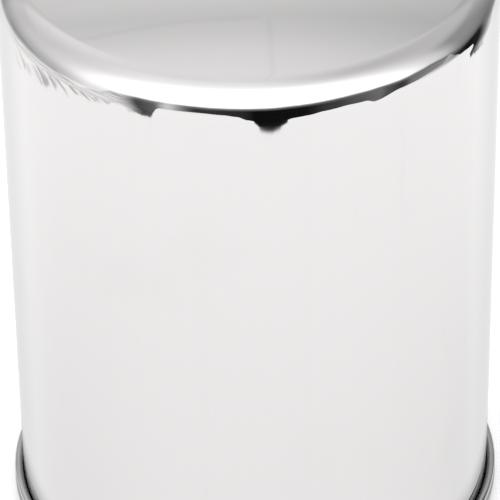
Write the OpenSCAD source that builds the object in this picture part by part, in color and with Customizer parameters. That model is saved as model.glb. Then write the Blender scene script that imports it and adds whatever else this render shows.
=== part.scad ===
// Spin-on oil filter: drawn can with a domed end, double-seamed base with a threaded
// plate and sealing ring, and a pleated cartridge with a relief valve inside.
// The filter stands on its sealing ring: z = 0 is the ring's face and z is the thread axis.

/* [Can] */
// Outside diameter of the can
can_d = 76; // [60:1:100]
// Height from the sealing face to the top of the dome
can_h = 100; // [80:1:160]
// Sheet thickness of the can
can_t = 0.45; // [0.4:0.05:0.7]
// Radius of the shoulder between wall and dome
shoulder_r = 5; // [3:0.5:9]
// Rise of the dome above the shoulder
crown_h = 2.5; // [1:0.5:5]

/* [Seaming lid] */
// Sheet thickness of the seaming lid
lid_t = 0.45; // [0.4:0.05:0.7]
// Height of the double seam
seam_h = 3.4; // [2.8:0.1:4]
// Width of the ridge that holds the sealing ring from inside
ridge_w = 2.4; // [2:0.1:3]
// Width of the flat flange inside the ridge, which is welded to the thread plate
lid_flange_w = 1.6; // [1.2:0.1:3]

/* [Sealing ring] */
// Radial width of the sealing ring
ring_w = 4.5; // [3.5:0.1:5.5]
// Height of the sealing ring
ring_h = 5; // [4.6:0.1:6.5]
// How far the sealing ring stands below the seam
ring_proud = 1.4; // [1:0.1:2.2]
// Gap between the sealing ring and the wall of its groove
ring_gap = 1.5; // [0.5:0.1:2]

/* [Thread plate] */
// Minor diameter of the 3/4-16 thread
thread_minor_d = 17.34; // [14:0.01:20]
// Length of the threaded hub
hub_h = 8.5; // [7:0.5:12]
// Wall of the threaded hub
hub_wall = 3.8; // [2.5:0.1:5]
// Thickness of the thread plate
plate_t = 3.2; // [2:0.1:4]
// Number of inlet ports
port_count = 8; // [6:1:10]
// Diameter of each inlet port
port_d = 7; // [5:0.5:8]

/* [Cartridge] */
// Number of pleats
pleat_count = 50; // [40:1:56]
// Thickness of the filter paper
paper_t = 0.6; // [0.4:0.05:0.7]
// Gap between cartridge and can, where the oil comes in
flow_gap = 5.5; // [4:0.5:8]
// Outside diameter of the centre tube
tube_d = 29; // [28:0.5:34]
// Sheet thickness of the centre tube
tube_t = 0.5; // [0.4:0.05:0.8]
// Diameter of the holes in the centre tube
tube_hole_d = 4; // [3:0.5:5]
// Sheet thickness of the end caps
cap_t = 0.4; // [0.3:0.05:0.6]
// Depth of the end caps' outer rims
cap_rim_h = 3.5; // [2.5:0.5:5]
// Thickness of the resin that bonds the paper to each end cap
bond_t = 1.6; // [1:0.1:2.4]

/* [Relief valve] */
// Radius of the relief valve's opening
seat_r = 6.6; // [5:0.1:7]
// How far the valve opens
valve_travel = 3.5; // [2:0.1:5]
// Thickness of the valve disc
disc_t = 1.2; // [0.8:0.1:1.6]
// Wire diameter of the valve spring
spring_wire = 0.8; // [0.5:0.1:1]
// Working turns of the valve spring
spring_turns = 4; // [3:0.5:6]

/* [Springs and rubber] */
// Height of the leaf spring between cartridge and dome
leaf_h = 9.2; // [6:0.1:12]
// Strip thickness of the leaf spring
leaf_t = 0.6; // [0.4:0.05:0.8]
// Width of each arm of the leaf spring
leaf_w = 9; // [6:0.5:12]
// Rubber thickness of the anti-drain valve
rubber_t = 1.4; // [1:0.1:2]

/* [Hidden] */

$fn = 96;

// Clearances
seam_gap = 0.03;     // between the layers of the seam
rest_gap = 0.05;     // between pieces that only rest on each other
plate_gap = 0.15;    // thread plate to can
ridge_gap = 0.15;    // sealing ring to the ridge inside it
stem_gap = 0.05;     // valve stem to the hole that guides it
fold_gap = 0.6;      // paper's outer folds to the end caps' rims
root_gap = 0.5;      // paper's inner folds to the centre tube
leaf_gap = 0.25;     // leaf spring to the dome
stud_gap = 2;        // room round the engine's stud above the hub
bend_r = 0.4;        // inside radius of the lid's bends
bend_n = 6;          // steps in a quarter bend

// Can
can_r = can_d / 2;
can_in_r = can_r - can_t;
shoulder_z = can_h - crown_h - shoulder_r;
crown_r = (pow(can_r - shoulder_r, 2) + pow(crown_h + shoulder_r, 2) - pow(shoulder_r, 2)) / (2 * crown_h);
crown_z = can_h - crown_r;
crown_a = asin((can_r - shoulder_r) / (crown_r - shoulder_r));

// Double seam: the can's hook and the lid's hook lock round two bend centres
can_bend_r = lid_t / 2 + seam_gap;
lid_bend_r = can_t / 2 + seam_gap;
low_bend = [can_r + can_bend_r, ring_proud + can_bend_r + can_t + seam_gap + lid_t];
top_bend = [can_r + seam_gap + lid_t + lid_bend_r, ring_proud + seam_h - lid_bend_r - lid_t];

// Groove, ridge and flange of the lid
chuck_r = can_in_r - seam_gap - lid_t;
ring_out_r = chuck_r - ring_gap;
ring_in_r = ring_out_r - ring_w;
ridge_out_r = ring_in_r - ridge_gap;
ridge_in_r = ridge_out_r - ridge_w;
ridge_z = ring_proud + lid_t + ridge_w / 2;
lid_in_r = ridge_in_r - lid_flange_w;

// Thread plate
plate_z = ring_h + lid_t;
plate_top_z = plate_z + plate_t;
plate_r = can_in_r - plate_gap;
thread_r = thread_minor_d / 2;
hub_r = thread_r + hub_wall;
hub_top_z = plate_z + hub_h;
port_pitch_r = (hub_r + lid_in_r) / 2;
thread_chamfer = 1;
hub_fillet = 2.5;

// Cartridge, from its lower end cap up
cap_z = hub_top_z + rubber_t + 2 * rest_gap;
crown_in_z = can_h - can_t;
cap_top_z = crown_in_z - leaf_gap - leaf_h - rest_gap;
cap_r = can_in_r - flow_gap;
paper_out_r = cap_r - cap_t - fold_gap;
tube_r = tube_d / 2;
tube_in_r = tube_r - tube_t;
paper_in_r = tube_r + root_gap;
paper_z = cap_z + cap_t + bond_t;
paper_top_z = cap_top_z - cap_t - bond_t;
fold_half = paper_t + 0.05;                                  // half of a pleat at its outer fold
root_half = PI / pleat_count * paper_in_r - 0.1;             // half of a pleat at its inner fold
flow_r = thread_r + stud_gap;

// Relief valve, from its seat down
seat_t = 0.4;
seat_lip_h = 2;
seat_shelf = 3.2;    // how far the end cap's hole stands back from the seat
seat_z = cap_top_z - cap_t - seat_t;
lip_z = seat_z + seat_t - seat_lip_h;
seal_t = 0.9;
seal_z = lip_z - rest_gap - seal_t;
disc_z = seal_z - disc_t;
seal_overlap = 2.2;
disc_r = seat_r + seal_overlap;
stem_r = 1.5;
stem_head_r = 2.6;
stem_head_t = 0.8;
stem_head_taper = 0.5;
stem_tail = 2;
spring_r = 5;
spring_spare = 1;    // room left in the spring when the valve is full open
spring_h = (spring_turns + 3) * spring_wire + valve_travel + spring_spare;
spring_top_z = disc_z - rest_gap;
spring_z = spring_top_z - spring_h;
cage_t = 0.5;
cage_gap = 0.6;      // cage flange to the centre tube
cage_flange_w = 1.2;
cage_flange_r = tube_in_r - cage_gap;
cage_r = cage_flange_r - cage_flange_w;
cage_z = spring_z - rest_gap - cage_t;
cage_h = seat_z - cage_z;

// Points on an arc, from angle a to angle b
function arc(c, r, a, b, n = bend_n) =
    [for (i = [0 : n]) c + r * [cos(a + (b - a) * i / n), sin(a + (b - a) * i / n)]];

// A point at a radius and an angle
function polar(r, a) = [r * cos(a), r * sin(a)];

module ring(r_in, r_out, z, h) {
    translate([0, 0, z]) difference() {
        cylinder(r = r_out, h = h);
        translate([0, 0, -1]) cylinder(r = r_in, h = h + 2);
    }
}

// Drawn can: hook of the seam, wall, shoulder and dome, then back down its inside
module can_shell() {
    tip = [low_bend[0] + can_bend_r, top_bend[1]];
    shoulder_c = [can_r - shoulder_r, shoulder_z];
    crown_c = [0, crown_z];
    color("gainsboro") rotate_extrude() polygon(concat(
        [tip],
        arc(low_bend, can_bend_r, 0, -180, 2 * bend_n),
        arc(shoulder_c, shoulder_r, 0, 90 - crown_a, 12),
        arc(crown_c, crown_r, 90 - crown_a, 90, 12),
        arc(crown_c, crown_r - can_t, 90, 90 - crown_a, 12),
        arc(shoulder_c, shoulder_r - can_t, 90 - crown_a, 0, 12),
        arc(low_bend, can_bend_r + can_t, -180, 0, 2 * bend_n),
        [tip + [can_t, 0]]
    ));
}

// Seaming lid: welded flange, ridge, groove of the sealing ring, and the rolled seam
module seaming_lid() {
    bend_z = ring_h - bend_r;
    flange_c = [ridge_in_r - bend_r, bend_z];
    ridge_c = [ridge_out_r - ridge_w / 2, ridge_z];
    groove_c = [ridge_out_r + bend_r, bend_z];
    chuck_c = [chuck_r - bend_r, bend_z];
    wrap_r = can_bend_r + can_t + seam_gap + lid_t;
    tip = [top_bend[0] - lid_bend_r, low_bend[1] + rest_gap];
    color("silver") rotate_extrude() polygon(concat(
        [[lid_in_r, ring_h]],
        arc(flange_c, bend_r, 90, 0),
        arc(ridge_c, ridge_w / 2, 180, 360, 2 * bend_n),
        arc(groove_c, bend_r, 180, 90),
        arc(chuck_c, bend_r, 90, 0),
        arc(low_bend, wrap_r, 180, 360, 2 * bend_n),
        arc(top_bend, lid_bend_r + lid_t, 0, 180, 2 * bend_n),
        [tip - [lid_t, 0], tip],
        arc(top_bend, lid_bend_r, 180, 0, 2 * bend_n),
        arc(low_bend, wrap_r - lid_t, 360, 180, 2 * bend_n),
        arc(chuck_c, bend_r + lid_t, 0, 90),
        arc(groove_c, bend_r + lid_t, 90, 180),
        arc(ridge_c, ridge_w / 2 - lid_t, 360, 180, 2 * bend_n),
        arc(flange_c, bend_r + lid_t, 0, 90),
        [[lid_in_r, ring_h + lid_t]]
    ));
}

// Sealing compound in the two hollows of the seam
module seam_compound() {
    color("darkslategray") rotate_extrude() {
        polygon(arc(low_bend, can_bend_r - seam_gap, 180, 360, bend_n));
        polygon(arc(top_bend, lid_bend_r - seam_gap, 15, 165, bend_n));
    }
}

// Stamped thread plate with its drawn hub and the ring of inlet ports
module thread_plate() {
    edge = 0.6;
    color("lightsteelblue") difference() {
        rotate_extrude() polygon(concat(
            [[0, plate_z], [plate_r - edge, plate_z]],
            [[plate_r, plate_z + edge], [plate_r, plate_top_z - edge], [plate_r - edge, plate_top_z]],
            arc([hub_r + hub_fillet, plate_top_z + hub_fillet], hub_fillet, 270, 180),
            [[hub_r, hub_top_z - edge], [hub_r - edge, hub_top_z], [0, hub_top_z]]
        ));
        translate([0, 0, plate_z - 1]) cylinder(r = thread_r, h = hub_h + 2);
        translate([0, 0, plate_z - 0.01])
            cylinder(r1 = thread_r + thread_chamfer, r2 = thread_r, h = thread_chamfer);
        for (i = [0 : port_count - 1])
            rotate(360 * i / port_count) translate([port_pitch_r, 0, plate_z - 1])
                cylinder(d = port_d, h = plate_t + 2);
    }
}

// Square-cut sealing ring
module base_gasket() {
    edge = 0.6;
    lip = 0.3;
    color("dimgray") rotate_extrude() polygon([
        [ring_in_r + lip, 0], [ring_out_r - lip, 0], [ring_out_r, lip],
        [ring_out_r, ring_h - edge], [ring_out_r - edge, ring_h],
        [ring_in_r + edge, ring_h], [ring_in_r, ring_h - edge], [ring_in_r, lip]
    ]);
}

// Rubber diaphragm: a collar clamped on the hub and a skirt whose lip covers the ports
module anti_drain_valve() {
    collar_z = hub_top_z + rest_gap;
    collar_r = hub_r + 1.6;
    lip_r = (port_pitch_r + port_d / 2 + ridge_in_r) / 2;
    lip_z = plate_top_z + rest_gap;
    lip_w = 1;
    lip_t = 0.65 * rubber_t;
    heel = [lip_r - 2 * lip_w, lip_z + 0.25 * rubber_t];
    color("firebrick") rotate_extrude() polygon([
        [flow_r, collar_z], [collar_r, collar_z], heel, [lip_r - lip_w, lip_z], [lip_r, lip_z],
        [lip_r, lip_z + lip_t], heel + [0, 0.8 * rubber_t],
        [collar_r + rubber_t / 2, collar_z + rubber_t], [flow_r, collar_z + rubber_t]
    ]);
}

// End cap: a disc with an outer rim and a collar inside the centre tube
module end_cap(hole_r, has_collar) {
    rotate_extrude() {
        polygon([
            [hole_r, 0], [cap_r - bend_r, 0], [cap_r, bend_r], [cap_r, cap_rim_h],
            [cap_r - cap_t, cap_rim_h], [cap_r - cap_t, cap_t], [hole_r, cap_t]
        ]);
        if (has_collar)
            translate([tube_in_r - plate_gap - cap_t, cap_t - 0.1]) square([cap_t, cap_rim_h - cap_t]);
    }
}

module lower_end_cap() {
    color("silver") translate([0, 0, cap_z]) end_cap(flow_r, true);
}

module upper_end_cap() {
    color("silver") translate([0, 0, cap_top_z]) mirror([0, 0, 1]) end_cap(seat_r + seat_shelf, false);
}

module lower_bond() {
    color("khaki") ring(tube_r, cap_r - cap_t, cap_z + cap_t, bond_t);
}

module upper_bond() {
    color("khaki") ring(tube_r, cap_r - cap_t, paper_top_z, bond_t);
}

// Paper folded into a star: its outer face less its inner face
module pleated_media() {
    pitch = 360 / pleat_count;
    tip_a = asin(fold_half / paper_out_r);
    root_a = asin(root_half / paper_in_r);
    fold_a = asin((fold_half - paper_t) / (paper_out_r - paper_t));
    well_a = asin((root_half - paper_t) / paper_in_r);
    root_r = paper_in_r + paper_t;
    color("moccasin") translate([0, 0, paper_z]) linear_extrude(paper_top_z - paper_z) difference() {
        polygon([for (i = [0 : pleat_count - 1], p = [
            [root_r, -root_a], [paper_out_r, -tip_a], [paper_out_r, tip_a], [root_r, root_a]
        ]) polar(p[0], pitch * i + p[1])]);
        polygon([for (i = [0 : pleat_count - 1], p = [
            [paper_in_r, -well_a], [paper_out_r - paper_t, -fold_a],
            [paper_out_r - paper_t, fold_a], [paper_in_r, well_a]
        ]) polar(p[0], pitch * i + p[1])]);
    }
}

// Crimped strip that joins the two ends of the paper, over one pleat
module media_seam_clip() {
    strip_t = 0.35;
    depth = 3.6;
    half = fold_half + 0.1;
    end_gap = 0.3;
    clip_h = paper_top_z - paper_z - 2 * end_gap;
    color("silver") translate([0, 0, paper_z + end_gap]) linear_extrude(clip_h) difference() {
        translate([paper_out_r - depth, -half - strip_t])
            square([depth + rest_gap + strip_t, 2 * (half + strip_t)]);
        translate([paper_out_r - depth - 1, -half]) square([depth + 1 + rest_gap, 2 * half]);
    }
}

// Perforated centre tube, its rows of holes staggered
module centre_tube() {
    tube_z = cap_z + cap_t;
    tube_h = cap_top_z - cap_t - tube_z;
    row_pitch = 1.9 * tube_hole_d;
    plain_end = 2 * tube_hole_d;
    rows = floor((tube_h - 2 * plain_end) / row_pitch);
    per_row = 6;
    first_z = tube_z + (tube_h - (rows - 1) * row_pitch) / 2;
    color("lightslategray") difference() {
        ring(tube_in_r, tube_r, tube_z, tube_h);
        for (k = [0 : rows - 1], i = [0 : per_row / 2 - 1])
            translate([0, 0, first_z + k * row_pitch])
                rotate([90, 0, 360 * i / per_row + (k % 2) * 180 / per_row])
                    cylinder(d = tube_hole_d, h = 2 * tube_d, center = true);
    }
}

// Ring crimped under the upper end cap, with a turned-down lip that is the valve's seat
module bypass_seat() {
    color("silver") rotate_extrude() {
        translate([seat_r, lip_z]) square([seat_t, seat_lip_h]);
        translate([seat_r, seat_z]) square([cage_flange_r - seat_r, seat_t]);
    }
}

// Cup that carries the valve spring, with windows for the oil and a hole for the stem
module bypass_cage() {
    windows = 4;
    window_w = 0.65 * cage_r;
    window_sill = 2;
    window_h = cage_h - 2.5 * window_sill;
    drain_r = 1.6;
    drain_pitch_r = 0.7 * cage_r;
    color("lightslategray") difference() {
        union() {
            ring(cage_r - cage_t, cage_r, cage_z, cage_h);
            ring(stem_r + stem_gap, cage_r, cage_z, cage_t);
            ring(cage_r - cage_t, cage_flange_r, seat_z - cage_t, cage_t);
        }
        for (i = [0 : windows - 1]) rotate(360 * i / windows) {
            translate([cage_r - 2, -window_w / 2, cage_z + window_sill]) cube([4, window_w, window_h]);
            translate([drain_pitch_r, 0, cage_z - 1]) cylinder(r = drain_r, h = cage_t + 2);
        }
    }
}

module bypass_disc() {
    color("black") ring(stem_r, disc_r, disc_z, disc_t);
}

module bypass_seal() {
    inset = 0.2;
    color("dimgray") ring(stem_r, disc_r - inset, seal_z, seal_t);
}

// Rivet that holds seal and disc together and runs in the cage
module bypass_stem() {
    foot_z = cage_z - stem_tail;
    head_z = seal_z + seal_t;
    color("gray") union() {
        translate([0, 0, foot_z]) cylinder(r = stem_r, h = head_z - foot_z);
        translate([0, 0, head_z])
            cylinder(r1 = stem_head_r, r2 = stem_head_r - stem_head_taper, h = stem_head_t);
    }
}

// Compression spring with closed ends, swept along a helix whose pitch is nil at each end
module bypass_spring() {
    sides = 8;
    steps = 20;
    rings = steps * (spring_turns + 2);
    low = spring_z + spring_wire / 2;
    high = spring_top_z - spring_wire / 2;
    rise = high - low - 2 * spring_wire;
    function height(u) =
        u < 1 ? low + u * spring_wire
        : u > spring_turns + 1 ? high - (spring_turns + 2 - u) * spring_wire
        : low + spring_wire + (u - 1) / spring_turns * rise;
    wire_r = spring_wire / 2;
    points = [for (k = [0 : rings], j = [0 : sides - 1])
        let (u = k / steps, turn = 360 * u, side = 360 * j / sides, r = spring_r + wire_r * cos(side))
        [r * cos(turn), r * sin(turn), height(u) + wire_r * sin(side)]];
    walls = [for (k = [0 : rings - 1], j = [0 : sides - 1])
        [k * sides + j, k * sides + (j + 1) % sides, (k + 1) * sides + (j + 1) % sides, (k + 1) * sides + j]];
    start = [for (j = [sides - 1 : -1 : 0]) j];
    end = [for (j = [0 : sides - 1]) rings * sides + j];
    color("gray") polyhedron(points, concat([start, end], walls));
}

// Four-armed leaf spring: a flat crown under the dome, sloping arms and flat feet
module hold_down_spring() {
    top_z = cap_top_z + rest_gap + leaf_h;
    foot_z = cap_top_z + rest_gap;
    crown_flat_r = 9;
    hole_r = 4;
    tip_r = cap_r - 4;      // the feet stop short of the end cap's rim
    foot_r = tip_r - 3.5;   // each foot is flat from here out
    lean = 0.3 * leaf_t;
    color("gray") intersection() {
        rotate_extrude() polygon([
            [hole_r, top_z], [crown_flat_r, top_z], [foot_r, foot_z + leaf_t], [tip_r, foot_z + leaf_t],
            [tip_r, foot_z], [foot_r - lean, foot_z], [crown_flat_r - lean, top_z - leaf_t],
            [hole_r, top_z - leaf_t]
        ]);
        union() {
            cylinder(r = crown_flat_r, h = can_h);
            for (i = [0 : 1]) rotate(90 * i)
                translate([-cap_r, -leaf_w / 2, 0]) cube([2 * cap_r, leaf_w, can_h]);
        }
    }
}

can_shell();
seaming_lid();
seam_compound();
thread_plate();
base_gasket();
anti_drain_valve();
lower_end_cap();
lower_bond();
pleated_media();
media_seam_clip();
centre_tube();
upper_bond();
upper_end_cap();
bypass_seat();
bypass_cage();
bypass_spring();
bypass_disc();
bypass_seal();
bypass_stem();
hold_down_spring();
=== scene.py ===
import math

import bmesh
import bpy
from mathutils import Matrix, Vector


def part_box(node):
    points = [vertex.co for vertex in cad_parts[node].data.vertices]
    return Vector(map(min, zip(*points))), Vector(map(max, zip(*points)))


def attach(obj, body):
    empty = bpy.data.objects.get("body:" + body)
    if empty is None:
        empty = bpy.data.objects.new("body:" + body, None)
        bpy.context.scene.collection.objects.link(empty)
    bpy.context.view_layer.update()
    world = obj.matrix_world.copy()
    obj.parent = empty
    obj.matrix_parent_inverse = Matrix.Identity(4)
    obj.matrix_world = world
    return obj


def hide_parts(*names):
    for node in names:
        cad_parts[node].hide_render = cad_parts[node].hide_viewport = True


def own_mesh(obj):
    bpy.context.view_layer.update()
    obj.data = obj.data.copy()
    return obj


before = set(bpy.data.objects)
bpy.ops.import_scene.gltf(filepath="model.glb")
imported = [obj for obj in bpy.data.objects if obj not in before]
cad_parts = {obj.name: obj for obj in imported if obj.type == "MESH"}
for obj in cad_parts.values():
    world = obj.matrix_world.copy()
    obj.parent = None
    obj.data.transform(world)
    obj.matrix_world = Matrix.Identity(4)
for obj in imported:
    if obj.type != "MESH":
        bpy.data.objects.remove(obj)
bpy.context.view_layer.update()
scene = bpy.context.scene
scene.view_settings.view_transform = "Standard"
mm = 0.001


class Sock:
    # an output socket of a node tree, so that maths on it reads as maths
    def __init__(self, graph, socket):
        self.graph = graph
        self.socket = socket

    def math(self, operation, *others):
        return self.graph.add("ShaderNodeMath", {"operation": operation}, self, *others)

    def flipped(self, operation, other):
        return self.graph.add("ShaderNodeMath", {"operation": operation}, other, self)

    def __add__(self, other):
        return self.math("ADD", other)

    def __radd__(self, other):
        return self.math("ADD", other)

    def __sub__(self, other):
        return self.math("SUBTRACT", other)

    def __rsub__(self, other):
        return self.flipped("SUBTRACT", other)

    def __mul__(self, other):
        return self.math("MULTIPLY", other)

    def __rmul__(self, other):
        return self.math("MULTIPLY", other)

    def __truediv__(self, other):
        return self.math("DIVIDE", other)

    def __rtruediv__(self, other):
        return self.flipped("DIVIDE", other)

    def __pow__(self, other):
        return self.math("POWER", other)

    def smooth(self, low, high):
        # 0 below low, 1 above high, eased between
        settings = {"interpolation_type": "SMOOTHSTEP"}
        return self.graph.add("ShaderNodeMapRange", settings, self, low, high, 0.0, 1.0)

    def between(self, low, high, ease):
        # 1 from low to high, 0 outside, eased over a stretch centred on each end
        return self.smooth(low - ease, low + ease) * (1.0 - self.smooth(high - ease, high + ease))


class Graph:
    # a node tree filled from nothing
    def __init__(self, tree):
        self.tree = tree
        tree.nodes.clear()

    def add(self, kind, settings=None, *inputs, output=0, **named):
        node = self.tree.nodes.new(kind)
        for key, value in (settings or {}).items():
            if key == "stops":
                self.setStops(node.color_ramp, value)
            elif key == "easing":
                node.color_ramp.interpolation = value
            else:
                setattr(node, key, value)
        for index, value in enumerate(inputs):
            self.feed(node.inputs[index], value)
        for key, value in named.items():
            self.feed(node.inputs[key.replace("_", " ")], value)
        return Sock(self, node.outputs[output]) if node.outputs else node

    def feed(self, socket, value):
        if isinstance(value, Sock):
            self.tree.links.new(value.socket, socket)
        elif value is not None:
            socket.default_value = value

    def setStops(self, ramp, stops):
        while len(ramp.elements) < len(stops):
            ramp.elements.new(1.0)
        for element, (place, level) in zip(ramp.elements, stops):
            element.position = place
            element.color = (level, level, level, 1)

    def split(self, vector):
        node = self.tree.nodes.new("ShaderNodeSeparateXYZ")
        self.tree.links.new(vector.socket, node.inputs[0])
        return [Sock(self, out) for out in node.outputs]

    def join(self, x, y, z):
        return self.add("ShaderNodeCombineXYZ", None, x, y, z)

    def noise(self, vector, scale, detail=3.0, roughness=0.5):
        return self.add("ShaderNodeTexNoise", None, Vector=vector, Scale=scale, Detail=detail,
                        Roughness=roughness)

    def cells(self, vector, scale, output=0, **settings):
        return self.add("ShaderNodeTexVoronoi", settings, output=output, Vector=vector, Scale=scale)

    def mixValue(self, factor, first, second):
        node = self.tree.nodes.new("ShaderNodeMix")
        for index, value in ((0, factor), (2, first), (3, second)):
            self.feed(node.inputs[index], value)
        return Sock(self, node.outputs[0])

    def mixColor(self, factor, first, second):
        node = self.tree.nodes.new("ShaderNodeMix")
        node.data_type = "RGBA"
        for name, value in (("Factor", factor), ("A", first), ("B", second)):
            socket = [s for s in node.inputs if s.name == name and s.enabled][0]
            self.feed(socket, (*value, 1) if isinstance(value, tuple) else value)
        return Sock(self, [s for s in node.outputs if s.enabled][0])

    def objectPlace(self):
        return self.add("ShaderNodeTexCoord", None, output=3)

    def radiusAndHeight(self, place):
        x, y, z = self.split(place)
        return (x * x + y * y) ** 0.5, z

    def drawnStreaks(self, place, around, along, detail=2.0):
        # noise stretched along the axis, as a drawing die leaves it
        x, y, z = self.split(place)
        radius = (x * x + y * y) ** 0.5 + 1e-5
        return self.noise(self.join(x / radius * around, y / radius * around, z * along), 1.0, detail)

    def turnedRings(self, place, scale, detail=2.0):
        # noise that only changes with the radius and the height, as a lathe or a die leaves it
        radius, z = self.radiusAndHeight(place)
        return self.noise(self.join(radius, z, 0.0), scale, detail)


def newMaterial(name):
    material = bpy.data.materials.new(name)
    material.use_nodes = True
    return material, Graph(material.node_tree)


def finishShader(graph, bump=None, **sockets):
    if bump:
        height, distance, strength = bump
        sockets["Normal"] = graph.add("ShaderNodeBump", None, Strength=strength, Distance=distance,
                                      Height=height)
    shader = graph.add("ShaderNodeBsdfPrincipled", None, **sockets)
    graph.add("ShaderNodeOutputMaterial", None, shader)


cameraValues = {
    "aim": Vector((-0.00034, 0, 0.04457)),
    "distance": 0.562,
    "elevation": math.radians(34.28),
    "roll": -0.014,
    "lens": 255.7,
    "sensor": 36.0,
}


def makeCamera(v):
    forward = Vector((0, math.cos(v["elevation"]), -math.sin(v["elevation"])))
    level = Vector((1, 0, 0))
    upright = level.cross(forward)
    right = level * math.cos(v["roll"]) + upright * math.sin(v["roll"])
    up = upright * math.cos(v["roll"]) - level * math.sin(v["roll"])
    data = bpy.data.cameras.new("camera")
    data.lens = v["lens"]
    data.sensor_width = v["sensor"]
    camera = bpy.data.objects.new("camera", data)
    turned = Matrix((right, up, -forward)).transposed().to_4x4()
    camera.matrix_world = Matrix.Translation(v["aim"] - forward * v["distance"]) @ turned
    scene.collection.objects.link(camera)
    scene.camera = camera


makeCamera(cameraValues)
print("camera made")


# what the chrome reflects: a white tent that is brightest in front, its darker back and right side,
# and the white floor
tentValues = {
    "frontToBack": [(0.0, 1.7), (0.34, 1.6), (0.44, 1.25), (0.5, 1.15), (0.65, 0.98), (0.835, 1.0),
                    (0.85, 0.94), (0.865, 0.83), (0.88, 0.76), (0.895, 0.84), (1.0, 0.80)],
    "horizon": 0.68,
    "rightShade": 0.32,
    "leftShade": 0.17,
    "wedgeShade": 0.44,
    "backShade": 0.10,
    "floor": 1.232,
    "floorFar": 0.21,
    "floorNear": 0.085,
    "floorNearBack": 0.075,
    "floorNearRight": 0.05,
    "crease": 0.05,
    "seenLevel": 1.3,
}


def makeTent(v):
    world = bpy.data.worlds.new("tent")
    world.use_nodes = True
    scene.world = world
    g = Graph(world.node_tree)
    x, y, z = g.split(g.add("ShaderNodeTexCoord", None, output=0))
    stops = [(place, level / 2.0) for place, level in v["frontToBack"]]
    cloth = g.add("ShaderNodeValToRGB", {"stops": stops}, (y + 1.0) * 0.5) * 2.0
    cloth = cloth * g.mixValue(z.smooth(-0.12, 0.34), v["horizon"], 1.0)
    right = x.smooth(-0.05, 0.4) * y.smooth(-0.35, 0.2)
    left = (-1.0 * x).smooth(0.3, 0.8) * y.smooth(-0.35, 0.1)
    wedge = x.smooth(0.5, 0.85) * y.smooth(0.02, 0.25) * (1.0 - z.smooth(0.45, 0.72))
    back = y.smooth(0.35, 0.6) * z.smooth(-0.32, -0.05) * (1.0 - z.smooth(0.46, 0.55))
    shades = ((right, "rightShade"), (left, "leftShade"), (wedge, "wedgeShade"), (back, "backShade"))
    for shade, share in shades:
        cloth = cloth * (1.0 - v[share] * shade)
    # the edge of a sheet of the tent, a faint line across and then towards the front
    across = z.between(0.652, 0.66, 0.003) * x.between(-0.6, 0.012, 0.006) * y.smooth(0.2, 0.4)
    along = (x - 0.02 - 0.06 * (z - 0.65)).between(-0.003, 0.003, 0.003) * z.between(0.656, 0.95, 0.01)
    cloth = cloth * (1.0 - v["crease"] * (across + along * y.smooth(0.1, 0.3)))
    floor = v["floor"] * (1.0 - v["floorFar"] * y.smooth(0.5, 0.83))
    near = v["floorNear"] + v["floorNearBack"] * y.smooth(-0.8, 0.5)
    near = near + v["floorNearRight"] * x.smooth(0.3, 0.7) * y.smooth(0.1, 0.5)
    floor = floor * (1.0 - near * (1.0 - (z + 1.0).smooth(0.36, 0.50)))
    level = g.mixValue(z.smooth(-0.30, -0.14), floor, cloth)
    seen = g.add("ShaderNodeLightPath", None, output=0)
    shown = g.mixValue(seen, level, v["seenLevel"])
    g.add("ShaderNodeOutputWorld", None, g.add("ShaderNodeBackground", None, shown, 1.0))


def hideFrom(obj, *rays):
    for ray in rays:
        setattr(obj, "visible_" + ray, False)


def addMesh(name, bm):
    mesh = bpy.data.meshes.new(name)
    bm.to_mesh(mesh)
    bm.free()
    obj = bpy.data.objects.new(name, mesh)
    scene.collection.objects.link(obj)
    return obj


studioValues = {
    "floorSize": 6.0,
    "floorTone": 0.86,
    "lightSize": 1.4,
    "lightHeight": 1.1,
    "lightPower": 9.0,
}


def makeFloor(v):
    bm = bmesh.new()
    bmesh.ops.create_grid(bm, x_segments=1, y_segments=1, size=v["floorSize"] / 2)
    floor = addMesh("floor", bm)
    material, g = newMaterial("paleFloor")
    tone = v["floorTone"]
    matte = g.add("ShaderNodeBsdfDiffuse", None, (tone, tone, tone, 1))
    clear = g.add("ShaderNodeBsdfTransparent")
    underside = g.add("ShaderNodeNewGeometry", None, output=6)
    g.add("ShaderNodeOutputMaterial", None, g.add("ShaderNodeMixShader", None, underside, matte, clear))
    floor.data.materials.append(material)
    hideFrom(floor, "glossy", "diffuse", "shadow")


def makeTopLight(v):
    data = bpy.data.lights.new("topLight", "AREA")
    data.shape = "DISK"
    data.size = v["lightSize"]
    data.energy = v["lightPower"]
    light = bpy.data.objects.new("topLight", data)
    light.location = (0, 0, v["lightHeight"])
    scene.collection.objects.link(light)
    hideFrom(light, "glossy")


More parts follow.
